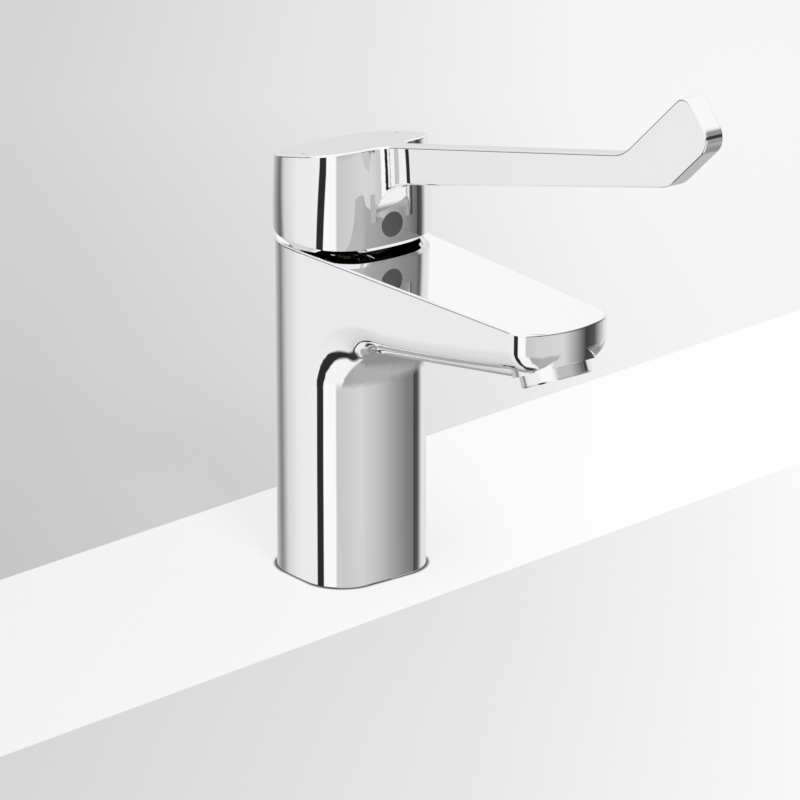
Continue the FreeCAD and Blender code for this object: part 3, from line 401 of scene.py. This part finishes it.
def floor_material():
    material = bpy.data.materials.new("studio_floor")
    material.use_nodes = True
    n = Nodes(material.node_tree)
    colour = painted_floor(n)
    glow = n.add("ShaderNodeEmission")
    n.feed(glow.inputs["Color"], colour)
    glow.inputs["Strength"].default_value = FLOOR_GLOW
    cloth = n.add("ShaderNodeBsdfDiffuse")
    n.feed(cloth.inputs["Color"], n.mix(FLOOR_CLOTH_DARKENING, colour, BLACK))
    seen = n.add("ShaderNodeAddShader")
    n.link(glow.outputs[0], seen.inputs[0])
    n.link(cloth.outputs[0], seen.inputs[1])

    # The camera sees the painted floor, other light bounces off a plain one, and metal sees past it
    bounce = n.add("ShaderNodeBsdfDiffuse")
    bounce.inputs["Color"].default_value = FLOOR_BOUNCE
    clear = n.add("ShaderNodeBsdfTransparent")
    path = n.add("ShaderNodeLightPath")
    first = n.add("ShaderNodeMixShader")
    n.feed(first.inputs[0], path.outputs["Is Camera Ray"])
    n.link(bounce.outputs[0], first.inputs[1])
    n.link(seen.outputs[0], first.inputs[2])
    second = n.add("ShaderNodeMixShader")
    n.feed(second.inputs[0], seen_in_metal(n))
    n.link(first.outputs[0], second.inputs[1])
    n.link(clear.outputs[0], second.inputs[2])
    output = n.add("ShaderNodeOutputMaterial")
    n.link(second.outputs[0], output.inputs["Surface"])
    return material


def add_floor():
    half = FLOOR_HALF
    mesh = bpy.data.meshes.new("floor")
    mesh.from_pydata([(-half, -half, 0), (half, -half, 0), (half, half, 0), (-half, half, 0)], [],
                     [(0, 1, 2, 3)])
    mesh.materials.append(floor_material())
    floor = bpy.data.objects.new("floor", mesh)
    bpy.context.scene.collection.objects.link(floor)


def cap_wall_normal(n):
    """Smooth normal of the cap's bowed wall, taken wherever the mesh agrees with it closely."""
    coordinates = n.add("ShaderNodeTexCoord")
    split = n.add("ShaderNodeSeparateXYZ")
    n.link(coordinates.outputs["Object"], split.inputs[0])
    x = split.outputs[0]
    y = n.math("ADD", split.outputs[1], CAP_FORWARD)
    wide = n.math("ABSOLUTE", x)
    deep = n.math("ABSOLUTE", y)
    past_front = n.math("SUBTRACT", deep, CAP_FRONT_CENTRE)
    past_side = n.math("SUBTRACT", wide, CAP_SIDE_CENTRE)
    on_front = n.math("LESS_THAN", n.math("MULTIPLY", wide, CAP_CORNER_Y - CAP_FRONT_CENTRE),
                      n.math("MULTIPLY", past_front, CAP_CORNER_X))
    on_side = n.math("LESS_THAN", n.math("MULTIPLY", deep, CAP_CORNER_X - CAP_SIDE_CENTRE),
                     n.math("MULTIPLY", past_side, CAP_CORNER_Y))
    shift_x = n.math("MULTIPLY_ADD", on_front, -CAP_CORNER_X, CAP_CORNER_X)
    shift_x = n.math("MULTIPLY_ADD", on_side, CAP_SIDE_CENTRE - CAP_CORNER_X, shift_x)
    shift_y = n.math("MULTIPLY_ADD", on_side, -CAP_CORNER_Y, CAP_CORNER_Y)
    shift_y = n.math("MULTIPLY_ADD", on_front, CAP_FRONT_CENTRE - CAP_CORNER_Y, shift_y)
    level = n.add("ShaderNodeCombineXYZ")
    n.link(n.math("MULTIPLY", n.math("SUBTRACT", wide, shift_x), n.math("SIGN", x)), level.inputs[0])
    n.link(n.math("MULTIPLY", n.math("SUBTRACT", deep, shift_y), n.math("SIGN", y)), level.inputs[1])
    outward = n.vector("NORMALIZE", level.outputs[0])
    lean = n.add("ShaderNodeCombineXYZ")
    n.link(n.math("MULTIPLY_ADD", split.outputs[2], CAP_LEAN, -CAP_LEAN * CAP_WIDEST), lean.inputs[2])
    turned = n.add("ShaderNodeVectorTransform", vector_type="NORMAL", convert_from="OBJECT",
                   convert_to="WORLD")
    n.link(n.vector("NORMALIZE", n.vector("ADD", outward, lean.outputs[0])), turned.inputs[0])
    wall = n.vector("NORMALIZE", turned.outputs[0])
    mesh = n.add("ShaderNodeNewGeometry").outputs["Normal"]
    agreement = n.vector("DOT_PRODUCT", wall, mesh)
    share = n.between(agreement, cosine(CAP_FAR_DEG), cosine(CAP_NEAR_DEG))
    return n.vector("NORMALIZE", n.mix(share, mesh, wall, kind="VECTOR"))


def surface(name, colour, metallic=0.0, roughness=0.4, spread=0.05, scale=400.0, bump=0.0, shade=0.06,
            stretch=(1.0, 1.0, 1.0), coat=0.0, normal=None):
    """Material whose roughness and tone vary finely over the surface."""
    material = bpy.data.materials.new(name)
    material.use_nodes = True
    n = Nodes(material.node_tree)
    shader = n.add("ShaderNodeBsdfPrincipled")
    output = n.add("ShaderNodeOutputMaterial")
    n.link(shader.outputs[0], output.inputs["Surface"])
    coordinates = n.add("ShaderNodeTexCoord")
    mapping = n.add("ShaderNodeMapping")
    mapping.inputs["Scale"].default_value = stretch
    n.link(coordinates.outputs["Object"], mapping.inputs["Vector"])
    noise = n.add("ShaderNodeTexNoise")
    noise.inputs["Scale"].default_value = scale
    noise.inputs["Detail"].default_value = NOISE_DETAIL
    n.link(mapping.outputs[0], noise.inputs["Vector"])
    value = noise.outputs[0]
    shader.inputs["Metallic"].default_value = metallic
    shader.inputs["Coat Weight"].default_value = coat
    dark = tuple(part * (1 - shade) for part in colour) + (1.0,)
    light = tuple(min(1.0, part * (1 + shade)) for part in colour) + (1.0,)
    n.feed(shader.inputs["Base Color"], n.mix(value, dark, light))
    varied = n.add("ShaderNodeMapRange")
    n.feed(varied.inputs["Value"], value)
    varied.inputs["From Min"].default_value = NOISE_LOW
    varied.inputs["From Max"].default_value = NOISE_HIGH
    varied.inputs["To Min"].default_value = max(0.0, roughness - spread)
    varied.inputs["To Max"].default_value = roughness + spread
    n.feed(shader.inputs["Roughness"], varied.outputs["Result"])
    if bump:
        relief = n.add("ShaderNodeBump")
        relief.inputs["Strength"].default_value = RELIEF_STRENGTH
        relief.inputs["Distance"].default_value = bump
        n.feed(relief.inputs["Height"], value)
        n.link(relief.outputs[0], shader.inputs["Normal"])
    if normal:
        n.link(normal(n), shader.inputs["Normal"])
    return material


def chrome(name, normal=None):
    return surface(name, (0.93, 0.93, 0.935), metallic=1.0, roughness=0.012, spread=0.008, scale=60.0,
                   shade=0.004, normal=normal)


MATERIALS = {
    "polished_chrome": chrome("polished_chrome"),
    "dark_bonnet_plastic": surface("dark_bonnet_plastic", (0.02, 0.02, 0.022), roughness=0.35, bump=0.00003),
    "black_rubber": surface("black_rubber", (0.025, 0.025, 0.026), roughness=0.7, bump=0.00005, scale=900.0),
    "cast_brass": surface("cast_brass", (0.78, 0.6, 0.3), metallic=1.0, roughness=0.3, spread=0.08,
                          scale=700.0, stretch=(1, 1, 8)),
    "zinc_steel": surface("zinc_steel", (0.62, 0.64, 0.67), metallic=1.0, roughness=0.34, spread=0.08,
                          scale=500.0, shade=0.1),
    "housing_plastic": surface("housing_plastic", (0.82, 0.83, 0.8), roughness=0.38, bump=0.00002),
    "ceramic": surface("ceramic", (0.9, 0.88, 0.83), roughness=0.18, shade=0.03, coat=0.3),
    "limiter_plastic": surface("limiter_plastic", (0.6, 0.08, 0.05), roughness=0.4, bump=0.00002),
    "aerator_plastic": surface("aerator_plastic", (0.75, 0.76, 0.78), roughness=0.45, bump=0.00002),
    "cover_plastic": surface("cover_plastic", (0.09, 0.09, 0.093), roughness=0.42, spread=0.06, scale=1500.0,
                             bump=0.00001),
    "mark_enamel": surface("mark_enamel", (0.04, 0.04, 0.045), roughness=0.25, scale=3000.0),
    "stainless_steel": surface("stainless_steel", (0.66, 0.67, 0.68), metallic=1.0, roughness=0.25,
                               spread=0.07, scale=900.0, stretch=(1, 1, 6)),
}
HANDLE_CHROME = chrome("handle_chrome", normal=cap_wall_normal)

for entry in frame["record"]["subparts"]:
    node = frame["nodes"][entry["node"]]
    is_handle = entry["node"] == "lever_handle"
    for slot in node.material_slots:
        slot.material = HANDLE_CHROME if is_handle else MATERIALS[entry["material_slot"]]

build_world()
add_camera()
add_floor()
add_area_light("key_softbox", KEY_PLACE, KEY_TARGET, KEY_SIZE, KEY_WATTS)
add_area_light("fill_softbox", FILL_PLACE, FILL_TARGET, FILL_SIZE, FILL_WATTS)

bpy.context.scene.view_settings.view_transform = "Standard"
